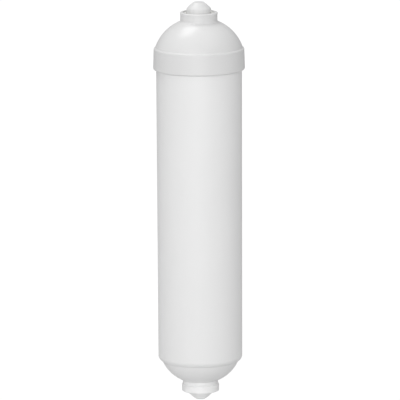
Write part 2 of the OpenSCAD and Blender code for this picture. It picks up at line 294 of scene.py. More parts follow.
def close_hard(tree, given, geometry):
    """Ends a tree of a moulded or pressed piece, whose real edges stay hard."""
    edged = add(tree, "GeometryNodeGroup", {
        "Geometry": geometry, "Hard angle": HARD_ANGLE,
    }, node_tree=HARD_EDGES)
    return close(tree, given, edged.outputs[0])


def close_even(tree, given, geometry, smooth):
    """Ends a tree of a porous or broken piece, shaded smooth or flat all over."""
    even = add(tree, "GeometryNodeSetShadeSmooth", {"Geometry": geometry, "Shade Smooth": smooth})
    return close(tree, given, even.outputs[0])


def baked(name, start, tree, **values):
    """A plain mesh piece, made by running a tree on a starting mesh with named values."""
    maker = bpy.data.objects.new(name + "_maker", start)
    scene.collection.objects.link(maker)
    modifier = maker.modifiers.new("tree", "NODES")
    modifier.node_group = tree
    for item in tree.interface.items_tree:
        label = item.name.replace(" ", "_")
        if item.in_out == "INPUT" and label in values:
            modifier[item.identifier] = values[label]
    graph = bpy.context.evaluated_depsgraph_get()
    mesh = bpy.data.meshes.new_from_object(maker.evaluated_get(graph))
    bpy.data.objects.remove(maker)
    mesh.name = name
    piece = bpy.data.objects.new(name, mesh)
    scene.collection.objects.link(piece)
    return piece


def turning_tree():
    """Turns an outline of loose edges, drawn RAIL_R from the axis, into a solid."""
    tree, given = tree_with("turned_on_axis", Steps="Int")
    outline = add(tree, "GeometryNodeMeshToCurve", {"Mesh": given["Geometry"]})
    rail = add(tree, "GeometryNodeCurvePrimitiveCircle", {
        "Resolution": given["Steps"], "Radius": RAIL_R,
    })
    swept = add(tree, "GeometryNodeCurveToMesh", {
        "Curve": rail.outputs[0], "Profile Curve": outline.outputs[0],
    })
    whole = add(tree, "GeometryNodeMergeByDistance", {
        "Geometry": swept.outputs[0], "Distance": MERGED,
    })
    return close_hard(tree, given, whole.outputs[0])


def outline_mesh(name, outline):
    """The outline as edges, turned clockwise, and left open where it ends on the axis."""
    area = sum(a[0] * b[1] - b[0] * a[1] for a, b in zip(outline, outline[1:] + outline[:1]))
    if area > 0:
        outline = outline[::-1]
    closed = outline[0][0] > 0 or outline[-1][0] > 0
    count = len(outline)
    edges = [(i, (i + 1) % count) for i in range(count if closed else count - 1)]
    mesh = bpy.data.meshes.new(name + "_outline")
    mesh.from_pydata([(r - RAIL_R, -z, 0) for r, z in outline], edges, [])
    return mesh


def turned(name, outline, material, steps=TURN_STEPS):
    """A solid of revolution about Z from an outline of radius and height in metres."""
    return baked(name, outline_mesh(name, outline), TURNED, Steps=steps, Material=material)


def linear(colour):
    """An sRGB hex colour as linear RGBA."""
    parts = [int(colour[i:i + 2], 16) / 255 for i in (1, 3, 5)]
    return tuple(c / 12.92 if c <= 0.04045 else ((c + 0.055) / 1.055) ** 2.4 for c in parts) + (1.0,)


def blank(name, **shader_inputs):
    """An empty material with a Principled shader that has the given values."""
    material = bpy.data.materials.new(name)
    material.use_nodes = True
    tree = material.node_tree
    tree.nodes.clear()
    named = {label.replace("_", " "): value for label, value in shader_inputs.items()}
    shader = add(tree, "ShaderNodeBsdfPrincipled", named)
    add(tree, "ShaderNodeOutputMaterial", {"Surface": shader.outputs[0]})
    place = add(tree, "ShaderNodeTexCoord").outputs["Object"]
    return material, tree, shader, place


def moulded(name, pale, deep, roughness, grain_mm, swirl_mm=30.0, ior=1.49):
    """Injection-moulded plastic: pigment swirls, drag lines along the draw, and fine grain."""
    material, tree, shader, place = blank(name, IOR=ior)
    swirl = add(tree, "ShaderNodeTexNoise", {
        "Vector": place, "Scale": 1 / (swirl_mm * MM), "Detail": 3.0,
    })
    tint = add(tree, "ShaderNodeMix", {
        "Factor": swirl.outputs["Fac"], 6: linear(pale), 7: linear(deep),
    }, data_type="RGBA")
    along = add(tree, "ShaderNodeMapping", {"Vector": place, "Scale": (1.0, 1.0, DRAG_STRETCH)})
    drag = add(tree, "ShaderNodeTexNoise", {
        "Vector": along.outputs[0], "Scale": 1 / (DRAG_MM * MM), "Detail": 2.0,
    })
    gloss = add(tree, "ShaderNodeMapRange", {
        "Value": drag.outputs["Fac"], "From Min": 0.3, "From Max": 0.7,
        "To Min": roughness - DRAG_GLOSS, "To Max": roughness + DRAG_GLOSS,
    })
    grain = add(tree, "ShaderNodeTexNoise", {
        "Vector": place, "Scale": 1 / (grain_mm * MM), "Detail": 1.0,
    })
    bump = add(tree, "ShaderNodeBump", {
        "Height": grain.outputs["Fac"], "Strength": SKIN_STRENGTH, "Distance": SKIN_HEIGHT * MM,
    })
    tree.links.new(tint.outputs[2], shader.inputs["Base Color"])
    tree.links.new(gloss.outputs[0], shader.inputs["Roughness"])
    tree.links.new(bump.outputs[0], shader.inputs["Normal"])
    return material


def port_bore(boss_end):
    """Outline of a port's stepped bore, from the boss's inner end out to the rim's recess."""
    return [
        (BOSS_R, boss_end), (WATERWAY_R, boss_end), (WATERWAY_R, TUBE_STOP), (SOCKET_R, TUBE_STOP),
        (SOCKET_R, SOCKET_D), (GLAND_R, SOCKET_D), (GLAND_R, gland_d), (SEAT_R, gland_d),
        (SEAT_R, RECESS_END), (RECESS_R, RECESS_END),
    ]


ENDS = (("outlet", outlet, -1), ("inlet", inlet, 1))
HARD_EDGES = edges_tree()
TURNED = turning_tree()
gland_d = span("outlet_retainer")[1]
body_end = span("body")[1]
skirt_edge_d = span("inlet_cap")[0]
body_r = reach("body")
body_low_r = body_r - BODY_DRAFT

# Polypropylene from a spark-eroded mould: a satin skin that spreads a lamp into a soft glow.
white_polypropylene = moulded("moulded_white_polypropylene", "#EBEBEB", "#E7E7E7", 0.34, 0.7)
body_outside = (
    [(RECESS_R, OUTLET_RIM)]
    + arc((NECK_R - LIP_ROUND, OUTLET_RIM + LIP_ROUND), LIP_ROUND, -90, 0)
    + arc((NECK_R - LIP_ROUND, RING_TOP - LIP_ROUND), LIP_ROUND, 0, 90)
    + [(NECK_ROOT_R, RING_TOP)]
    + dome(OUTLET_C, OUTLET_R, NECK_ROOT_R, SEAM_R)
    + [(SEAM_R + WITNESS, SEAM_D)]
    + bowed((SEAM_R + WITNESS, SEAM_D), (body_low_r, BODY_EDGE + EDGE_ROUND), EDGE_BOW)
    + [(body_r, skirt_edge_d), (body_r, body_end - RIM_ROUND), (body_r - RIM_ROUND, body_end)]
    + [(body_r - BODY_WALL, body_end)]
)
body_inside = (
    [(body_low_r - BODY_WALL, OUTLET_C[1]), (OUTLET_C[0] + OUTLET_IN_R, OUTLET_C[1])]
    + dome(OUTLET_C, OUTLET_IN_R, OUTLET_C[0] + OUTLET_IN_R, SEAT_BOSS_R, 24)[1:]
    + [(SEAT_BOSS_R, SEAT_BOSS_END), (BOSS_R, SEAT_BOSS_END)]
    + port_bore(BOSS_END)
)
body = turned("filter_body", outlet(held(body_outside + body_inside)), white_polypropylene)
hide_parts("body")
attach(body, "housing")


# Port seals: an EPDM O-ring in each gland, with the thin flash line of its two-part mould,
# and a grey acetal washer that keeps it in place. Both are dropped in before the retainer.
SPACER_BORE_R, SPACER_ROUND = 3.275, 0.15
RING_FLASH, FLASH_TURN = 0.025, 3
SMALL_RING_STEPS = 128


def both_ends(piece, node, make):
    """Makes a piece at each end of the filter, where it stands for the CAD node."""
    for end, place, _ in ENDS:
        made = make(end + "_" + piece, place)
        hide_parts(end + "_" + node)
        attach(made, "housing")


# EPDM, moulded: near black and dull, with a faint grey bloom.
rubber, tree, shader, place = blank("moulded_epdm_rubber", Roughness=0.6, IOR=1.52)
bloom = add(tree, "ShaderNodeTexNoise", {"Vector": place, "Scale": 1 / (0.8 * MM), "Detail": 4.0})
dust = add(tree, "ShaderNodeMix", {
    "Factor": bloom.outputs["Fac"], 6: linear("#1B1B1C"), 7: linear("#2C2C2E"),
}, data_type="RGBA")
skin = add(tree, "ShaderNodeBump", {
    "Height": bloom.outputs["Fac"], "Strength": 0.3, "Distance": 0.02 * MM,
})
tree.links.new(dust.outputs[2], shader.inputs["Base Color"])
tree.links.new(skin.outputs[0], shader.inputs["Normal"])

# Acetal, moulded and coloured through: mid grey, smooth and slightly waxy.
grey_acetal = moulded("moulded_grey_acetal", "#A9ABAE", "#A2A4A8", 0.38, 0.4, ior=1.48)

ring_near, ring_far = span("outlet_o_ring")
ring_section = (ring_far - ring_near) / 2
ring_centre = (reach("outlet_o_ring") - ring_section, (ring_near + ring_far) / 2)
ring_outline = (
    arc(ring_centre, ring_section, FLASH_TURN, 180 - FLASH_TURN, 14)
    + arc(ring_centre, ring_section, 180 + FLASH_TURN, 360 - FLASH_TURN, 14)
    + [(ring_centre[0] + ring_section + RING_FLASH, ring_centre[1])]
)
both_ends("seal_ring", "o_ring",
          lambda name, place: turned(name, place(ring_outline), rubber, SMALL_RING_STEPS))

spacer_near, spacer_far = span("outlet_spacer")
spacer_out_r, spacer_in_r = reach("outlet_spacer") - SPACER_ROUND, SPACER_BORE_R + SPACER_ROUND
spacer_outline = (
    arc((spacer_out_r, spacer_near + SPACER_ROUND), SPACER_ROUND, -90, 0, 3)
    + arc((spacer_out_r, spacer_far - SPACER_ROUND), SPACER_ROUND, 0, 90, 3)
    + arc((spacer_in_r, spacer_far - SPACER_ROUND), SPACER_ROUND, 90, 180, 3)
    + arc((spacer_in_r, spacer_near + SPACER_ROUND), SPACER_ROUND, 180, 270, 3)
)
both_ends("seal_spacer", "spacer",
          lambda name, place: turned(name, place(spacer_outline), grey_acetal, SMALL_RING_STEPS))


# Port retainers: a natural acetal ring with a flange, pressed into each neck until its barbs
# bite. The flange closes the neck round the plug, and inside, a cone squeezes the collet's
# fingers on to the tube when the collet is drawn outwards.
RETAINER_BORE_R, CONE_START, CONE_END, SHELF = 4.525, 14.3, 16.0, 10.3
RING_R, WELL_R, MOUTH_R, FLANGE_ROUND = 7.175, 6.1, 8.0, 0.3
RETAINER_STEPS = 160
BARBS, BARB_DEPTH, BARB_PITCH, BARB_START = 3, 0.22, 1.5, 1.2
BARB_RISE, BARB_LAND = 0.05, 0.3
FLANGE_GAP, TAIL_START, TAIL_ROUND = 0.05, 0.8, 0.2
ring_root_r = RING_R - BARB_DEPTH

# Natural acetal, moulded: milky white and smooth, with a tighter shine than the body's.
acetal = moulded("moulded_natural_acetal", "#EDEDEA", "#E8E8E4", 0.31, 0.4, ior=1.48)
retainer_near, retainer_far = span("outlet_retainer")
retainer_r = reach("outlet_retainer")
retainer_outline = (
    arc((retainer_r - FLANGE_ROUND, retainer_near + FLANGE_ROUND), FLANGE_ROUND, -90, 0, 4)
    + [(retainer_r, RECESS_END - FLANGE_GAP), (ring_root_r, RECESS_END - FLANGE_GAP)]
)
for barb in range(BARBS):
    barb_d = RECESS_END + BARB_START + barb * BARB_PITCH
    retainer_outline += [
        (ring_root_r, barb_d), (RING_R, barb_d + BARB_RISE), (RING_R, barb_d + BARB_LAND),
    ]
retainer_outline += [
    (ring_root_r, retainer_far - TAIL_START), (ring_root_r, retainer_far - TAIL_ROUND),
    (ring_root_r - TAIL_ROUND, retainer_far), (GLAND_R, retainer_far), (GLAND_R, CONE_END),
    (RETAINER_BORE_R, CONE_START), (RETAINER_BORE_R, RECESS_END + FLANGE_ROUND),
    (RETAINER_BORE_R + FLANGE_ROUND, RECESS_END), (WELL_R, RECESS_END), (WELL_R, SHELF),
    (MOUTH_R, SHELF),
]
retainer_outline += arc(
    (MOUTH_R + FLANGE_ROUND, retainer_near + FLANGE_ROUND), FLANGE_ROUND, 180, 270, 4)
both_ends("port_retainer", "retainer",
          lambda name, place: turned(name, place(held(retainer_outline)), acetal, RETAINER_STEPS))


# Collets: natural acetal, moulded in one shot, with four sprung fingers split by sawn-looking
# slots. Each is pushed through its retainer until the fingers spring open behind the cone.
FINGERS, FINGER_SLOT_W, FINGER_SLOT_START, SAW_OVERRUN = 4, 0.8, 12.8, 1
COLLET_BORE_R, BARREL_R, SWELL_R, SWELL_START, SWELL_END = 3.25, 4.45, 5.2, 14.6, 15.9
COLLET_ROUND, FLANGE_T, FLANGE_EDGE = 0.4, 1.6, 0.1
COLLET_STEPS = 96
collet_near, collet_far = span("outlet_collet")
flange_r = reach("outlet_collet")


def slotting_tree():
    """Saws crossing slots through a turned collet, from a given height to its fingers' tips."""
    tree, given = tree_with("slotted_fingers", Saw_cuts="Int", Slot_width="Float",
                            Slot_length="Float", Slot_middle="Float")
    size = add(tree, "ShaderNodeCombineXYZ", {
        0: 4 * SWELL_R * MM, 1: given["Slot width"], 2: given["Slot length"],
    })
    blade = add(tree, "GeometryNodeMeshCube", {"Size": size.outputs[0]})
    rise = add(tree, "ShaderNodeCombineXYZ", {2: given["Slot middle"]})
    points = add(tree, "GeometryNodePoints", {"Count": given["Saw cuts"], "Position": rise.outputs[0]})
    index = add(tree, "GeometryNodeInputIndex")
    step = add(tree, "ShaderNodeMath", {0: math.pi, 1: given["Saw cuts"]}, operation="DIVIDE")
    turn = add(tree, "ShaderNodeMath", {0: index.outputs[0], 1: step.outputs[0]}, operation="MULTIPLY")
    spin = add(tree, "ShaderNodeCombineXYZ", {2: turn.outputs[0]})
    blades = add(tree, "GeometryNodeInstanceOnPoints", {
        "Points": points.outputs[0], "Instance": blade.outputs[0], "Rotation": spin.outputs[0],
    })
    solid = add(tree, "GeometryNodeRealizeInstances", {"Geometry": blades.outputs[0]})
    cut = add(tree, "GeometryNodeMeshBoolean", {
        "Mesh 1": given["Geometry"], "Mesh 2": solid.outputs[0],
    }, operation="DIFFERENCE", solver="EXACT")
    return close_hard(tree, given, cut.outputs[0])


flange_far = collet_near + FLANGE_T
collet_outline = (
    arc((flange_r - COLLET_ROUND, collet_near + COLLET_ROUND), COLLET_ROUND, -90, 0)
    + [(flange_r, flange_far - FLANGE_EDGE), (flange_r - FLANGE_EDGE, flange_far)]
    + [(BARREL_R, flange_far), (BARREL_R, SWELL_START), (SWELL_R, SWELL_END)]
    + arc((SWELL_R - COLLET_ROUND, collet_far - COLLET_ROUND), COLLET_ROUND, 0, 90)
    + [(COLLET_BORE_R, collet_far)]
    + arc((COLLET_BORE_R + COLLET_ROUND, collet_near + COLLET_ROUND), COLLET_ROUND, 180, 270)
)
slotted = slotting_tree()
slot_length = collet_far + SAW_OVERRUN - FINGER_SLOT_START
for end, place, side in ENDS:
    whole = turned(end + "_collet_blank", place(held(collet_outline)), acetal, COLLET_STEPS)
    slot_at = cad_high.z * side - side * (FINGER_SLOT_START + slot_length / 2) * MM
    collet = baked(end + "_port_collet", whole.data, slotted, Saw_cuts=FINGERS // 2,
                   Slot_width=FINGER_SLOT_W * MM, Slot_length=slot_length * MM,
                   Slot_middle=slot_at, Material=acetal)
    bpy.data.objects.remove(whole)
    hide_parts(end + "_collet")
    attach(collet, end + "_collet")


# Gripping teeth: a strip of thin stainless steel set in each collet finger as it is moulded.
# Each strip is pressed to a comb of small points that lean inwards, against the way out.
TOOTH_W, TOOTH_T, TOOTH_NOTCH, TOOTH_POINTS = 2.6, 0.22, 0.35, 4
TOOTH_TIP, TOOTH_ROOT = (3.235, 15.14), (4.68, 16.19)
POINT_SHARE = 0.35

# Stainless strip, rolled and pressed: a bright metal with a finely mottled gloss.
steel, tree, shader, place = blank("pressed_stainless_steel", Metallic=1.0)
rolling = add(tree, "ShaderNodeTexNoise", {"Vector": place, "Scale": 1 / (0.15 * MM), "Detail": 2.0})
sheen = add(tree, "ShaderNodeMapRange", {
    "Value": rolling.outputs["Fac"], "To Min": 0.2, "To Max": 0.38,
})
patina = add(tree, "ShaderNodeMix", {
    "Factor": rolling.outputs["Fac"], 6: linear("#CFCDC9"), 7: linear("#BDBBB7"),
}, data_type="RGBA")
tree.links.new(sheen.outputs[0], shader.inputs["Roughness"])
tree.links.new(patina.outputs[2], shader.inputs["Base Color"])


def comb_mesh(name, place):
    """One comb of teeth on the X axis: two sheets of points and the faces between them."""
    columns = 2 * TOOTH_POINTS
    sheets = []
    for lift in (0, TOOTH_T):
        for part in range(3):
            for i in range(columns + 1):
                y = TOOTH_W * (i / columns - 0.5)
                notch = TOOTH_NOTCH * (1 - i % 2)
                near = TOOTH_TIP[0] + notch
                r = (near, near + POINT_SHARE * (TOOTH_ROOT[0] - near), TOOTH_ROOT[0])[part]
                slope = (r - TOOTH_TIP[0]) / (TOOTH_ROOT[0] - TOOTH_TIP[0])
                depth = TOOTH_TIP[1] + slope * (TOOTH_ROOT[1] - TOOTH_TIP[1]) + lift
                height = place([(0, depth)])[0][1]
                sheets.append((math.sqrt(r * r - y * y) * MM, y * MM, height))
    row = columns + 1
    half = 3 * row
    faces = []
    for part in range(2):
        for i in range(columns):
            a = part * row + i
            faces.append((a, a + 1, a + row + 1, a + row))
            faces.append((half + a, half + a + row, half + a + row + 1, half + a + 1))
    rim = list(range(row)) + [row + columns, 2 * row + columns]
    rim += list(range(3 * row - 2, 2 * row - 1, -1)) + [row]
    for a, b in zip(rim, rim[1:] + rim[:1]):
        faces.append((a, half + a, half + b, b))
    mesh = bpy.data.meshes.new(name + "_comb")
    mesh.from_pydata(sheets, [], faces)
    return mesh


def ring_of_tree():
    """Repeats what it is given round the Z axis, half a step off the X axis."""
    tree, given = tree_with("repeated_round_axis", Count="Int")
    points = add(tree, "GeometryNodePoints", {"Count": given["Count"]})
    index = add(tree, "GeometryNodeInputIndex")
    half_on = add(tree, "ShaderNodeMath", {0: index.outputs[0], 1: 0.5}, operation="ADD")
    part = add(tree, "ShaderNodeMath", {0: half_on.outputs[0], 1: given["Count"]}, operation="DIVIDE")
    turn = add(tree, "ShaderNodeMath", {0: part.outputs[0], 1: 2 * math.pi}, operation="MULTIPLY")
    spin = add(tree, "ShaderNodeCombineXYZ", {2: turn.outputs[0]})
    copies = add(tree, "GeometryNodeInstanceOnPoints", {
        "Points": points.outputs[0], "Instance": given["Geometry"], "Rotation": spin.outputs[0],
    })
    return close_hard(tree, given, copies.outputs[0])


ring_of = ring_of_tree()
for end, place, _ in ENDS:
    comb = comb_mesh(end, place)
    if end == "inlet":
        comb.flip_normals()
    teeth = baked(end + "_gripping_teeth", comb, ring_of, Count=FINGERS, Material=steel)
    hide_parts(end + "_teeth")
    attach(teeth, end + "_collet")


# Flow grids: two identical perforated discs in natural polypropylene. One stands on the
# body's ledge with its rim down and carries the media; the other lies on the foam, rim up.
GRID_HOLE_R, GRID_PITCH, GRID_RIM_W, GRID_RIM_H, GRID_EDGE = 1.5, 4.4, 1.4, 1.2, 0.25
GRID_PIN_L, GRID_STEPS, PIN_SIDES = 4, 160, 24
MEDIA_R = reach("outlet_grid")


def piercing_tree():
    """Pierces a blank disc with a hole at each of the points it is given."""
    tree, given = tree_with("pierced_disc", Blank="Object", Hole_radius="Float", Hole_length="Float")
    pin = add(tree, "GeometryNodeMeshCylinder", {
        "Vertices": PIN_SIDES, "Radius": given["Hole radius"], "Depth": given["Hole length"],
    })
    pins = add(tree, "GeometryNodeInstanceOnPoints", {
        "Points": given["Geometry"], "Instance": pin.outputs["Mesh"],
    })
    solid = add(tree, "GeometryNodeRealizeInstances", {"Geometry": pins.outputs[0]})
    whole = add(tree, "GeometryNodeObjectInfo", {"Object": given["Blank"]})
    cut = add(tree, "GeometryNodeMeshBoolean", {
        "Mesh 1": whole.outputs["Geometry"], "Mesh 2": solid.outputs[0],
    }, operation="DIFFERENCE", solver="EXACT")
    return close_hard(tree, given, cut.outputs[0])


# Polypropylene without pigment: a warmer, duller white than the housing.
natural_polypropylene = moulded("moulded_natural_polypropylene", "#E6E6E2", "#DDDDD8", 0.4, 0.5)
pierced = piercing_tree()
for end, _, side in ENDS:
    low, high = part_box(end + "_grid")
    near, far = (low.z, high.z) if side > 0 else (high.z, low.z)
    e, r, rim_in = GRID_EDGE * MM, MEDIA_R * MM, (MEDIA_R - GRID_RIM_W) * MM
    web_far = far - side * GRID_RIM_H * MM
    blank_outline = [
        (0, near), (r - e, near), (r, near + side * e), (r, far - side * e), (r - e, far),
        (rim_in + e, far), (rim_in, far - side * e), (rim_in, web_far + side * e),
        (rim_in - e, web_far), (0, web_far),
    ]
    plate = turned(end + "_grid_blank", blank_outline, natural_polypropylene, GRID_STEPS)
    rings = int((MEDIA_R - GRID_RIM_W - GRID_HOLE_R) // GRID_PITCH)
    turns = [(n, 2 * math.pi * i / (6 * n)) for n in range(1, rings + 1) for i in range(6 * n)]
    holes = [(0.0, 0.0)] + [(n * GRID_PITCH * MM * math.cos(t), n * GRID_PITCH * MM * math.sin(t))
                            for n, t in turns]
    centres = bpy.data.meshes.new(end + "_hole_centres")
    centres.from_pydata([(x, y, (near + web_far) / 2) for x, y in holes], [], [])
    grid = baked(end + "_flow_grid", centres, pierced, Blank=plate, Hole_radius=GRID_HOLE_R * MM,
                 Hole_length=GRID_PIN_L * MM, Material=natural_polypropylene)
    bpy.data.objects.remove(plate)
    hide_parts(end + "_grid")
    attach(grid, "housing")


# Fines disc: small polyethylene beads, sintered in a mould into one stiff porous plate. It
# keeps carbon dust out of the tap, and lies on the outlet grid. The beads are really under
# half a millimetre across, and are drawn at 0.9 mm so that they show.
BEAD_MM = 0.9
DISC_INSET, DISC_STEP, DISC_ROUND = 0.12, 0.42, 0.3


def lumpy_tree():
    """Pushes a dense surface out into beads, or in into open cells, along its normals."""
    tree, given = tree_with("lumpy_surface", Cell_size="Float", Height="Float")
    cells = add(tree, "ShaderNodeMath", {0: 1.0, 1: given["Cell size"]}, operation="DIVIDE")
    lumps = add(tree, "ShaderNodeTexVoronoi", {"Scale": cells.outputs[0]})
    rise = add(tree, "ShaderNodeMapRange", {
        "Value": lumps.outputs["Distance"], "From Min": 0.1, "From Max": 0.65,
        "To Min": 1.0, "To Max": 0.0,
    }, interpolation_type="SMOOTHSTEP")
    far = add(tree, "ShaderNodeMath", {0: rise.outputs[0], 1: given["Height"]}, operation="MULTIPLY")
    normal = add(tree, "GeometryNodeInputNormal")
    push = add(tree, "ShaderNodeVectorMath", {
        0: normal.outputs[0], "Scale": far.outputs[0],
    }, operation="SCALE")
    moved = add(tree, "GeometryNodeSetPosition", {
        "Geometry": given["Geometry"], "Offset": push.outputs[0],
    })
    return close_even(tree, given, moved.outputs[0], True)


def dense_disc(name, node, inset, step, edge, material):
    """A disc with rounded edges inside a CAD disc, with a point every step mm in the outline."""
    low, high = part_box(node)
    r, near, far = high.x / MM - inset, low.z / MM + inset, high.z / MM - inset
    corners = (
        [(0.0, near)] + arc((r - edge, near + edge), edge, -90, 0, 4)
        + arc((r - edge, far - edge), edge, 0, 90, 4) + [(0.0, far)]
    )
    fine = []
    for a, b in zip(corners, corners[1:]):
        parts = max(1, round(math.dist(a, b) / step))
        fine += [(a[0] + (b[0] - a[0]) * i / parts, a[1] + (b[1] - a[1]) * i / parts)
                 for i in range(parts)]
    fine.append(corners[-1])
    return turned(name, [(x * MM, z * MM) for x, z in fine], material, int(2 * math.pi * r / step))


# Polyethylene, sintered: chalky white, with painted shade darker in the pores between the beads.
sintered, tree, shader, place = blank("sintered_polyethylene", Roughness=0.72, IOR=1.5)
beads = add(tree, "ShaderNodeTexVoronoi", {"Vector": place, "Scale": 1 / (BEAD_MM * MM)})
pore_shade_mask = add(tree, "ShaderNodeMapRange", {
    "Value": beads.outputs["Distance"], "From Min": 0.3, "From Max": 0.7,
})
pore_painted_shade = add(tree, "ShaderNodeMix", {
    "Factor": pore_shade_mask.outputs[0], 6: linear("#EDECE8"), 7: linear("#C9C7C0"),
}, data_type="RGBA")
tree.links.new(pore_painted_shade.outputs[2], shader.inputs["Base Color"])
lumpy = lumpy_tree()
disc_blank = dense_disc(
    "fines_disc_blank", "fines_disc", DISC_INSET, DISC_STEP, DISC_ROUND, sintered)
fines_disc = baked("sintered_fines_disc", disc_blank.data, lumpy, Cell_size=BEAD_MM * MM,
                   Height=DISC_INSET * MM, Material=sintered)
bpy.data.objects.remove(disc_blank)
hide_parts("fines_disc")
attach(fines_disc, "housing")


# Felt discs: polyester fibres needled into a 2 mm mat and stamped out. One lies under the
# carbon and one on it; loose fibres stand a little out of both faces.
FIBRE_LENGTH, FIBRE_R, FIBRE_BOW = 3.2, 0.035, 0.35
FIBRES_PER_MM2 = 0.32
FELT_INSET, FELT_STEP, FELT_ROUND = 0.16, 0.8, 0.4
TUFT_MM, TUFT_HEIGHT = 2.4, 0.09


def fibres_tree():
    """Scatters short bowed fibres flat on a mat's surface, and keeps the mat under them."""
    tree, given = tree_with("fibres_on_mat", Length="Float", Radius="Float", Bow="Float",
                            Density="Float", Reach="Float", Seed="Int")
    half = add(tree, "ShaderNodeMath", {0: given["Length"], 1: 0.5}, operation="MULTIPLY")
    back = add(tree, "ShaderNodeMath", {0: half.outputs[0], 1: -1.0}, operation="MULTIPLY")
    start = add(tree, "ShaderNodeCombineXYZ", {0: back.outputs[0]})
    bend = add(tree, "ShaderNodeCombineXYZ", {1: given["Bow"]})
    end = add(tree, "ShaderNodeCombineXYZ", {0: half.outputs[0]})
    fibre = add(tree, "GeometryNodeCurveQuadraticBezier", {
        "Resolution": 4, "Start": start.outputs[0], "Middle": bend.outputs[0], "End": end.outputs[0],
    })
    section = add(tree, "GeometryNodeCurvePrimitiveCircle", {"Resolution": 3, "Radius": given["Radius"]})
    strand = add(tree, "GeometryNodeCurveToMesh", {
        "Curve": fibre.outputs[0], "Profile Curve": section.outputs[0], "Fill Caps": True,
    })
    spot = add(tree, "GeometryNodeInputPosition")
    flat_spot = add(tree, "ShaderNodeVectorMath", {
        0: spot.outputs[0], 1: (1, 1, 0),
    }, operation="MULTIPLY")
    from_axis = add(tree, "ShaderNodeVectorMath", {0: flat_spot.outputs[0]}, operation="LENGTH")
    inboard = add(tree, "FunctionNodeCompare", {
        0: from_axis.outputs["Value"], 1: given["Reach"],
    }, operation="LESS_THAN")
    scatter = add(tree, "GeometryNodeDistributePointsOnFaces", {
        "Mesh": given["Geometry"], "Selection": inboard.outputs[0], "Density": given["Density"],
        "Seed": given["Seed"],
    })
    yaw = add(tree, "FunctionNodeRandomValue", {
        2: -math.pi, 3: math.pi, "Seed": given["Seed"],
    }, data_type="FLOAT")
    spin = add(tree, "ShaderNodeCombineXYZ", {2: yaw.outputs[1]})
    strands = add(tree, "GeometryNodeInstanceOnPoints", {
        "Points": scatter.outputs["Points"], "Instance": strand.outputs[0],
        "Rotation": spin.outputs[0],
    })
    joined = add(tree, "GeometryNodeJoinGeometry", {0: given["Geometry"]})
    tree.links.new(strands.outputs[0], joined.inputs[0])
    return close_hard(tree, given, joined.outputs[0])


# Polyester fibre, needled: matt off white with a soft sheen at its edges.
felt, tree, shader, place = blank("needled_polyester_felt", Roughness=0.9, IOR=1.46)
shader.inputs["Sheen Weight"].default_value = 0.3
tangle = add(tree, "ShaderNodeTexNoise", {"Vector": place, "Scale": 1 / (0.5 * MM), "Detail": 5.0})
fuzz = add(tree, "ShaderNodeMix", {
    "Factor": tangle.outputs["Fac"], 6: linear("#DAD6CB"), 7: linear("#F1EEE6"),
}, data_type="RGBA")
nap = add(tree, "ShaderNodeBump", {
    "Height": tangle.outputs["Fac"], "Strength": 0.6, "Distance": 0.2 * MM,
})
tree.links.new(fuzz.outputs[2], shader.inputs["Base Color"])
tree.links.new(nap.outputs[0], shader.inputs["Normal"])
fibres = fibres_tree()
for seed, node in enumerate(("outlet_felt", "inlet_felt"), start=1):
    flat = dense_disc(node + "_blank", node, FELT_INSET, FELT_STEP, FELT_ROUND, felt)
    mat = baked(node + "_mat", flat.data, lumpy, Cell_size=TUFT_MM * MM, Height=TUFT_HEIGHT * MM,
                Material=felt)
    felt_disc = baked("needled_" + node, mat.data, fibres, Length=FIBRE_LENGTH * MM,
                      Radius=FIBRE_R * MM, Bow=FIBRE_BOW * MM, Density=FIBRES_PER_MM2 / MM ** 2,
                      Reach=(MEDIA_R - FIBRE_LENGTH / 2 - FELT_INSET) * MM, Seed=seed,
                      Material=felt)
    bpy.data.objects.remove(flat)
    bpy.data.objects.remove(mat)
    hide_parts(node)
    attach(felt_disc, "housing")


# Carbon bed: granular activated carbon, poured in and shaken down. The broken grains are
# about 2 mm across, dull black, with a few brighter facets; a solid core stands under them.
GRAIN_MM = 2.0
GRAIN_GAP = 1.62
GRAIN_JAG, JAG_SCALE = 0.9, 600.0
CORE_INSET, CORE_STEP, CORE_EDGE = 0.62 * GRAIN_MM, 3.0, 1.0


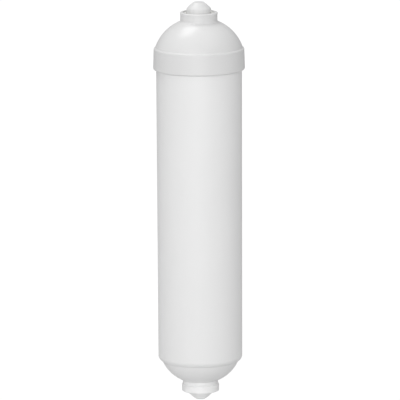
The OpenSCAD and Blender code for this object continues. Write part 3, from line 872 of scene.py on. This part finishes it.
def grains_tree():
    """Packs jagged grains of mixed size over a core's surface."""
    tree, given = tree_with("packed_grains", Grain_radius="Float", Spacing="Float", Seed="Int")
    stone = add(tree, "GeometryNodeMeshIcoSphere", {"Radius": given["Grain radius"], "Subdivisions": 1})
    rough = add(tree, "ShaderNodeTexNoise", {"Scale": JAG_SCALE, "Detail": 0.0})
    shift = add(tree, "ShaderNodeVectorMath", {
        0: rough.outputs["Color"], 1: (0.5, 0.5, 0.5),
    }, operation="SUBTRACT")
    jag = add(tree, "ShaderNodeVectorMath", {
        0: shift.outputs[0], "Scale": GRAIN_JAG * MM,
    }, operation="SCALE")
    broken = add(tree, "GeometryNodeSetPosition", {
        "Geometry": stone.outputs["Mesh"], "Offset": jag.outputs[0],
    })
    most = add(tree, "ShaderNodeMath", {0: 1.0, 1: given["Spacing"]}, operation="DIVIDE")
    dense = add(tree, "ShaderNodeMath", {0: most.outputs[0], 1: 2.0}, operation="POWER")
    scatter = add(tree, "GeometryNodeDistributePointsOnFaces", {
        "Mesh": given["Geometry"], "Distance Min": given["Spacing"], "Density Max": dense.outputs[0],
        "Seed": given["Seed"],
    }, distribute_method="POISSON")
    turn = add(tree, "FunctionNodeRandomValue", {
        0: (0, 0, 0), 1: (math.tau, math.tau, math.tau), "Seed": given["Seed"],
    }, data_type="FLOAT_VECTOR")
    size = add(tree, "FunctionNodeRandomValue", {
        0: (0.7, 0.6, 0.55), 1: (1.0, 0.95, 0.9), "Seed": given["Seed"],
    }, data_type="FLOAT_VECTOR")
    grains = add(tree, "GeometryNodeInstanceOnPoints", {
        "Points": scatter.outputs["Points"], "Instance": broken.outputs[0],
        "Rotation": turn.outputs[0], "Scale": size.outputs[0],
    })
    joined = add(tree, "GeometryNodeJoinGeometry", {0: given["Geometry"]})
    tree.links.new(grains.outputs[0], joined.inputs[0])
    return close_even(tree, given, joined.outputs[0], False)


# Activated carbon, broken and screened: sooty black, with a glint on some facets.
carbon, tree, shader, place = blank("granular_activated_carbon", Roughness=0.75, IOR=1.7)
shader.inputs["Specular IOR Level"].default_value = 0.35
grit = add(tree, "ShaderNodeTexNoise", {"Vector": place, "Scale": 1 / (0.35 * MM), "Detail": 4.0})
soot = add(tree, "ShaderNodeMix", {
    "Factor": grit.outputs["Fac"], 6: linear("#141415"), 7: linear("#2B2B2D"),
}, data_type="RGBA")
facet = add(tree, "ShaderNodeTexVoronoi", {"Vector": place, "Scale": 1 / (GRAIN_MM * MM)})
glint = add(tree, "ShaderNodeMapRange", {
    "Value": facet.outputs["Distance"], "To Min": 0.45, "To Max": 0.85,
})
pits = add(tree, "ShaderNodeBump", {
    "Height": grit.outputs["Fac"], "Strength": 0.5, "Distance": 0.1 * MM,
})
tree.links.new(soot.outputs[2], shader.inputs["Base Color"])
tree.links.new(glint.outputs[0], shader.inputs["Roughness"])
tree.links.new(pits.outputs[0], shader.inputs["Normal"])
core = dense_disc("carbon_core", "carbon_bed", CORE_INSET, CORE_STEP, CORE_EDGE, carbon)
carbon_bed = baked("granular_carbon_bed", core.data, grains_tree(), Grain_radius=GRAIN_MM / 2 * MM,
                   Spacing=GRAIN_GAP * MM, Seed=7, Material=carbon)
bpy.data.objects.remove(core)
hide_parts("carbon_bed")
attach(carbon_bed, "housing")


# Foam pad: open-cell polyurethane, cut as a disc and squeezed between the inlet felt and the
# inlet grid, so that the carbon can't shift. Its cut faces show the cells as small pits.
CELL_MM = 1.6
CELL_DEPTH = 0.55
PAD_INSET, PAD_STEP, PAD_ROUND = 0.05, 0.5, 1.4

# Polyurethane foam, cut: light grey and matt, with painted shade that darkens it down in its open cells.
foam, tree, shader, place = blank("open_cell_polyurethane_foam", Roughness=0.88, IOR=1.45)
cells = add(tree, "ShaderNodeTexVoronoi", {"Vector": place, "Scale": 1 / (CELL_MM * MM)})
depth = add(tree, "ShaderNodeMapRange", {"Value": cells.outputs["Distance"], "From Max": 0.6})
cell_painted_shade = add(tree, "ShaderNodeMix", {
    "Factor": depth.outputs[0], 6: linear("#8F9194"), 7: linear("#C4C6C9"),
}, data_type="RGBA")
tree.links.new(cell_painted_shade.outputs[2], shader.inputs["Base Color"])
pad_blank = dense_disc("foam_pad_blank", "foam_pad", PAD_INSET, PAD_STEP, PAD_ROUND, foam)
foam_pad = baked("squeezed_foam_pad", pad_blank.data, lumpy, Cell_size=CELL_MM * MM,
                 Height=-CELL_DEPTH * MM, Material=foam)
bpy.data.objects.remove(pad_blank)
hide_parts("foam_pad")
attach(foam_pad, "housing")


# Inlet cap: one injection moulding, spun against the body's rim until the two weld. The
# skirt hides the weld, and the neck holds the inlet port. It is a shade greyer than the body.
INLET_RIM = 6.3
LIP_PROUD, LIP_LENGTH, CAP_LIP_ROUND = 0.1, 1.4, 0.8
NECK_FILLET, SHOULDER_ROUND, SKIRT_ROUND = 1.6, 1.3, 1.05
INLET_C, INLET_R, INLET_IN_R = (1.92, 37.4), 27.0, 24.1
SKIRT_TOP_R, SKIRT_TOP = 28.44, 29.9
SKIRT_IN_R, SPIGOT_R, SPIGOT_WALL, SPIGOT_END, WELD = 27.0, 23.95, 1.5, 32.5, 30.5
CREASE_R, CREASE_TURN = 27.46, -76.0
skirt_r = reach("inlet_cap")
skirt_end = (cad_high.z - cad_low.z) / MM - skirt_edge_d
cap_root_r = NECK_R - LIP_PROUD
fillet_r = cap_root_r + NECK_FILLET
fillet_d = INLET_C[1] - math.sqrt((INLET_R + NECK_FILLET) ** 2 - (fillet_r - INLET_C[0]) ** 2)
fillet_end = math.degrees(math.atan2(INLET_C[1] - fillet_d, INLET_C[0] - fillet_r))
dome_from = fillet_r + NECK_FILLET * math.cos(math.radians(fillet_end))
shoulder_c = (SKIRT_TOP_R - SHOULDER_ROUND, SKIRT_TOP)

# Polypropylene again, from a better polished mould and another batch: glossier, and a shade greyer. The
# grey is partly the batch's own tone and partly painted shade for the dimmer light at the cap's end.
cap_white = moulded("moulded_greyer_white_polypropylene", "#DFDFDF", "#DCDCDC", 0.3, 0.7)
cap_outside = (
    [(RECESS_R, INLET_RIM)]
    + arc((NECK_R + LIP_PROUD - CAP_LIP_ROUND, INLET_RIM + CAP_LIP_ROUND), CAP_LIP_ROUND, -90, 0)
    + [(cap_root_r, INLET_RIM + LIP_LENGTH)]
    + arc((fillet_r, fillet_d), NECK_FILLET, 180, fillet_end, 8)
    + dome(INLET_C, INLET_R, dome_from, CREASE_R, 48)[1:]
    + arc(shoulder_c, SHOULDER_ROUND, CREASE_TURN, 0, 8)
    + arc((skirt_r - SKIRT_ROUND, skirt_end - SKIRT_ROUND), SKIRT_ROUND, 0, 90, 8)
    + [(SKIRT_IN_R, skirt_end)]
)
weld_r = INLET_C[0] + math.sqrt(INLET_IN_R ** 2 - (INLET_C[1] - WELD) ** 2)
cap_inside = (
    [(SKIRT_IN_R, WELD)]
    + dome(INLET_C, INLET_IN_R, weld_r, SPIGOT_R, 6)
    + [(SPIGOT_R, SPIGOT_END), (SPIGOT_R - SPIGOT_WALL, SPIGOT_END)]
    + dome(INLET_C, INLET_IN_R, SPIGOT_R - SPIGOT_WALL, SEAT_BOSS_R, 24)
    + [(SEAT_BOSS_R, SEAT_BOSS_END), (BOSS_R, SEAT_BOSS_END)]
    + port_bore(BOSS_END)
)
cap = turned("inlet_cap_moulding", inlet(held(cap_outside + cap_inside)), cap_white)
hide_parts("inlet_cap")
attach(cap, "housing")


# Transport plugs: low-density polyethylene, hollow-headed, with a solid stem of the tube's
# own diameter. A small pit beside the crown is left by the gate. Fingers pull them out.
PLUG_STEPS = 128
PLUG_FLAT_R, FLAT_STEPS, CROWN_ROUND, CROWN_END = 2.9, 12, 0.8, -52.0
SLOPE_SHORT, SLOPE_BULGE = 0.35, 0.1
PLUG_SHOULDER, SHOULDER_R, SHOULDER_TURN = 3.65, 0.8, -25
PLUG_SIDE, PLUG_SKIRT, HEM_ROUND, HEM_IN_ROUND = 4.5, 8.4, 0.3, 0.2
PLUG_WALL, CORE_R, CORE_TOP, CORE_ROUND = 1.3, 4.2, 4.2, 0.5
STEM_R, STEM_END, STEM_CHAMFER = 3.175, 25.2, 0.6
GATE_X, GATE_Y, GATE_R, GATE_DEPTH = 3.2, -1.2, 1.15, 0.6
plug_r = reach("inlet_plug")
plug_in_r = plug_r - PLUG_WALL
crown = arc((PLUG_FLAT_R, CROWN_ROUND), CROWN_ROUND, -90, CROWN_END, 5)
plug_outline = (
    [(PLUG_FLAT_R * i / FLAT_STEPS, 0.0) for i in range(FLAT_STEPS)]
    + crown + bowed(crown[-1], (plug_r - SLOPE_SHORT, PLUG_SHOULDER), SLOPE_BULGE, 16)
    + arc((plug_r - SHOULDER_R, PLUG_SIDE), SHOULDER_R, SHOULDER_TURN, 0, 3)
    + arc((plug_r - HEM_ROUND, PLUG_SKIRT - HEM_ROUND), HEM_ROUND, 0, 90, 4)
    + arc((plug_in_r + HEM_IN_ROUND, PLUG_SKIRT - HEM_IN_ROUND), HEM_IN_ROUND, 90, 180, 3)
    + arc((plug_in_r - CORE_ROUND, CORE_TOP + CORE_ROUND), CORE_ROUND, 0, -90, 4)
    + [(CORE_R, CORE_TOP), (CORE_R, PLUG_SKIRT), (STEM_R, PLUG_SKIRT)]
    + [(STEM_R, STEM_END - STEM_CHAMFER), (STEM_R - STEM_CHAMFER, STEM_END), (0.0, STEM_END)]
)

# Low-density polyethylene, moulded: softer and waxier than the housing, with less shine.
plug_white = moulded("moulded_low_density_polyethylene", "#E0E0E0", "#DADADA", 0.42, 0.9, ior=1.51)
for end, place, side in ENDS:
    profile = place(held(plug_outline, closed=False))
    plug = turned(end + "_transport_plug", profile, plug_white, PLUG_STEPS)
    # The gate's pit: a flat floor inside half its radius, and a smooth wall up to its rim.
    for vertex in plug.data.vertices:
        depth = (cad_high.z - side * vertex.co.z) / MM
        away = math.dist((vertex.co.x / MM, vertex.co.y / MM), (GATE_X, GATE_Y))
        if depth < CORE_TOP / 2 and away < GATE_R:
            sunk = min(1.0, 2 * (1 - away / GATE_R))
            vertex.co.z -= side * GATE_DEPTH * MM * sunk * sunk * (3 - 2 * sunk)
    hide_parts(end + "_plug")
    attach(plug, end + "_plug")


low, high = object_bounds()
